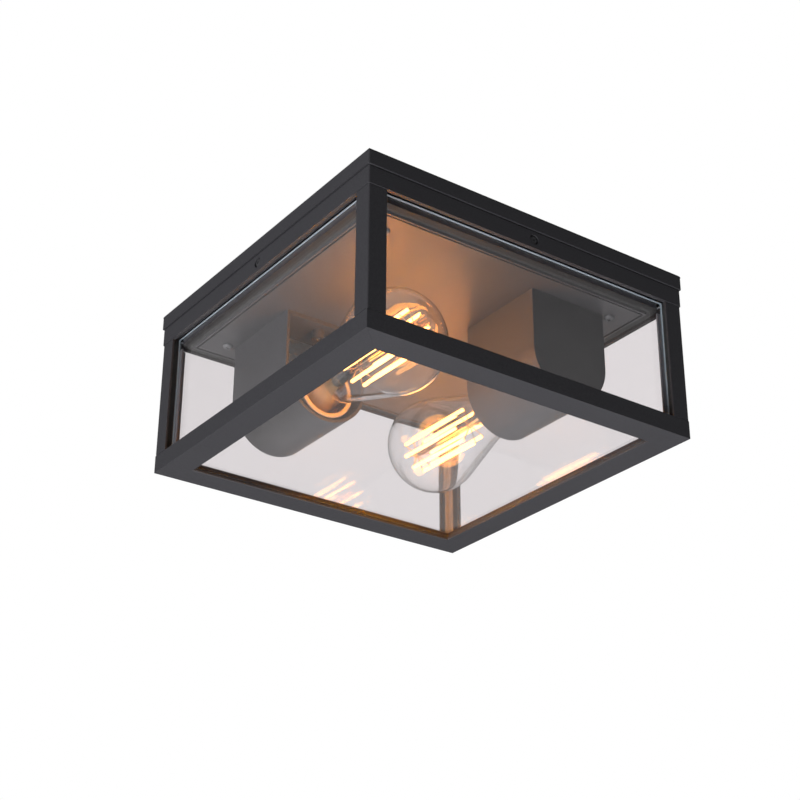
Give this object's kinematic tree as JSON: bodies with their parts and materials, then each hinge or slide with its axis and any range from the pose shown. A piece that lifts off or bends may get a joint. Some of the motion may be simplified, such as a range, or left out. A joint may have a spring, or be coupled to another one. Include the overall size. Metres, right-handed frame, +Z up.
{
  "type": "ceiling lantern",
  "caption": "Square flush ceiling lantern for a porch: a black ceiling pan, a glazed drop-down cage with a clear bottom pane, and filament bulbs lying level in U-shaped cups.",
  "frame": {"origin": "centre of the pan's ceiling face, the face that meets the ceiling", "axes": "+Z up, out of the ceiling face; the lantern hangs towards -Z; +X from the near left corner to the right along the front side, +Y from the front side to the back; the bulbs' axes lie along Y"},
  "size_m": [0.244, 0.244, 0.116],
  "materials": {
    "black_coat": "satin",
    "cup_coat": "satin",
    "clear_glass": "polished",
    "seal_rubber": "matte",
    "steel_zinc": "satin",
    "black_screw": "satin",
    "brass": "satin",
    "ceramic": "glazed",
    "lead_sleeve": "matte",
    "earth_sleeve": "matte",
    "filament_coat": "matte"
  },
  "bodies": {
    "pan": {"ceiling_pan": "black_coat", "ceiling_gasket": "seal_rubber", "cable_grommet": "seal_rubber", "inner_skirt": "black_coat", "cover_plate": "black_coat", "plate_screws": "steel_zinc", "lamp_cup_left": "cup_coat", "lamp_cup_right": "cup_coat", "cup_screws": "steel_zinc", "lampholder_left": "ceramic", "lampholder_right": "ceramic", "holder_sleeve_left": "brass", "holder_sleeve_right": "brass", "holder_contact_left": "brass", "holder_contact_right": "brass", "holder_bracket_left": "steel_zinc", "holder_bracket_right": "steel_zinc", "holder_screws": "steel_zinc", "terminal_block": "ceramic", "terminal_screws": "steel_zinc", "earth_screw": "brass", "lamp_leads_left": "lead_sleeve", "lamp_leads_right": "lead_sleeve", "earth_lead": "earth_sleeve"},
    "cage": {"top_rail": "black_coat", "rail_seal": "seal_rubber", "post_front_left": "black_coat", "post_front_right": "black_coat", "post_back_right": "black_coat", "post_back_left": "black_coat", "bar_front": "black_coat", "bar_right": "black_coat", "bar_back": "black_coat", "bar_left": "black_coat", "pane_front": "clear_glass", "pane_right": "clear_glass", "pane_back": "clear_glass", "pane_left": "clear_glass", "pane_bottom": "clear_glass", "bottom_seal": "seal_rubber", "pane_seals_front": "seal_rubber", "pane_seals_right": "seal_rubber", "pane_seals_back": "seal_rubber", "pane_seals_left": "seal_rubber"},
    "bulb_left": {"bulb_glass_left": "clear_glass", "bulb_cap_left": "brass", "bulb_tip_left": "steel_zinc", "bulb_stem_left": "clear_glass", "filaments_left": "filament_coat"},
    "bulb_right": {"bulb_glass_right": "clear_glass", "bulb_cap_right": "brass", "bulb_tip_right": "steel_zinc", "bulb_stem_right": "clear_glass", "filaments_right": "filament_coat"},
    "side_screw_front": {"side_screw_front": "black_screw"},
    "side_screw_right": {"side_screw_right": "black_screw"},
    "side_screw_back": {"side_screw_back": "black_screw"},
    "side_screw_left": {"side_screw_left": "black_screw"}
  },
  "joints": [
    {"name": "cage_drop", "type": "slide", "parent": "pan", "child": "cage", "axis": [0, 0, -1], "range_m": [0, 0.12]},
    {"name": "bulb_left_out", "type": "slide", "parent": "pan", "child": "bulb_left", "axis": [0, -1, 0], "range_m": [0, 0.027]},
    {"name": "bulb_right_out", "type": "slide", "parent": "pan", "child": "bulb_right", "axis": [0, 1, 0], "range_m": [0, 0.027]},
    {"name": "screw_front_out", "type": "slide", "parent": "cage", "child": "side_screw_front", "axis": [0, -1, 0], "range_m": [0, 0.006]},
    {"name": "screw_right_out", "type": "slide", "parent": "cage", "child": "side_screw_right", "axis": [1, 0, 0], "range_m": [0, 0.006]},
    {"name": "screw_back_out", "type": "slide", "parent": "cage", "child": "side_screw_back", "axis": [0, 1, 0], "range_m": [0, 0.006]},
    {"name": "screw_left_out", "type": "slide", "parent": "cage", "child": "side_screw_left", "axis": [-1, 0, 0], "range_m": [0, 0.006]}
  ]
}
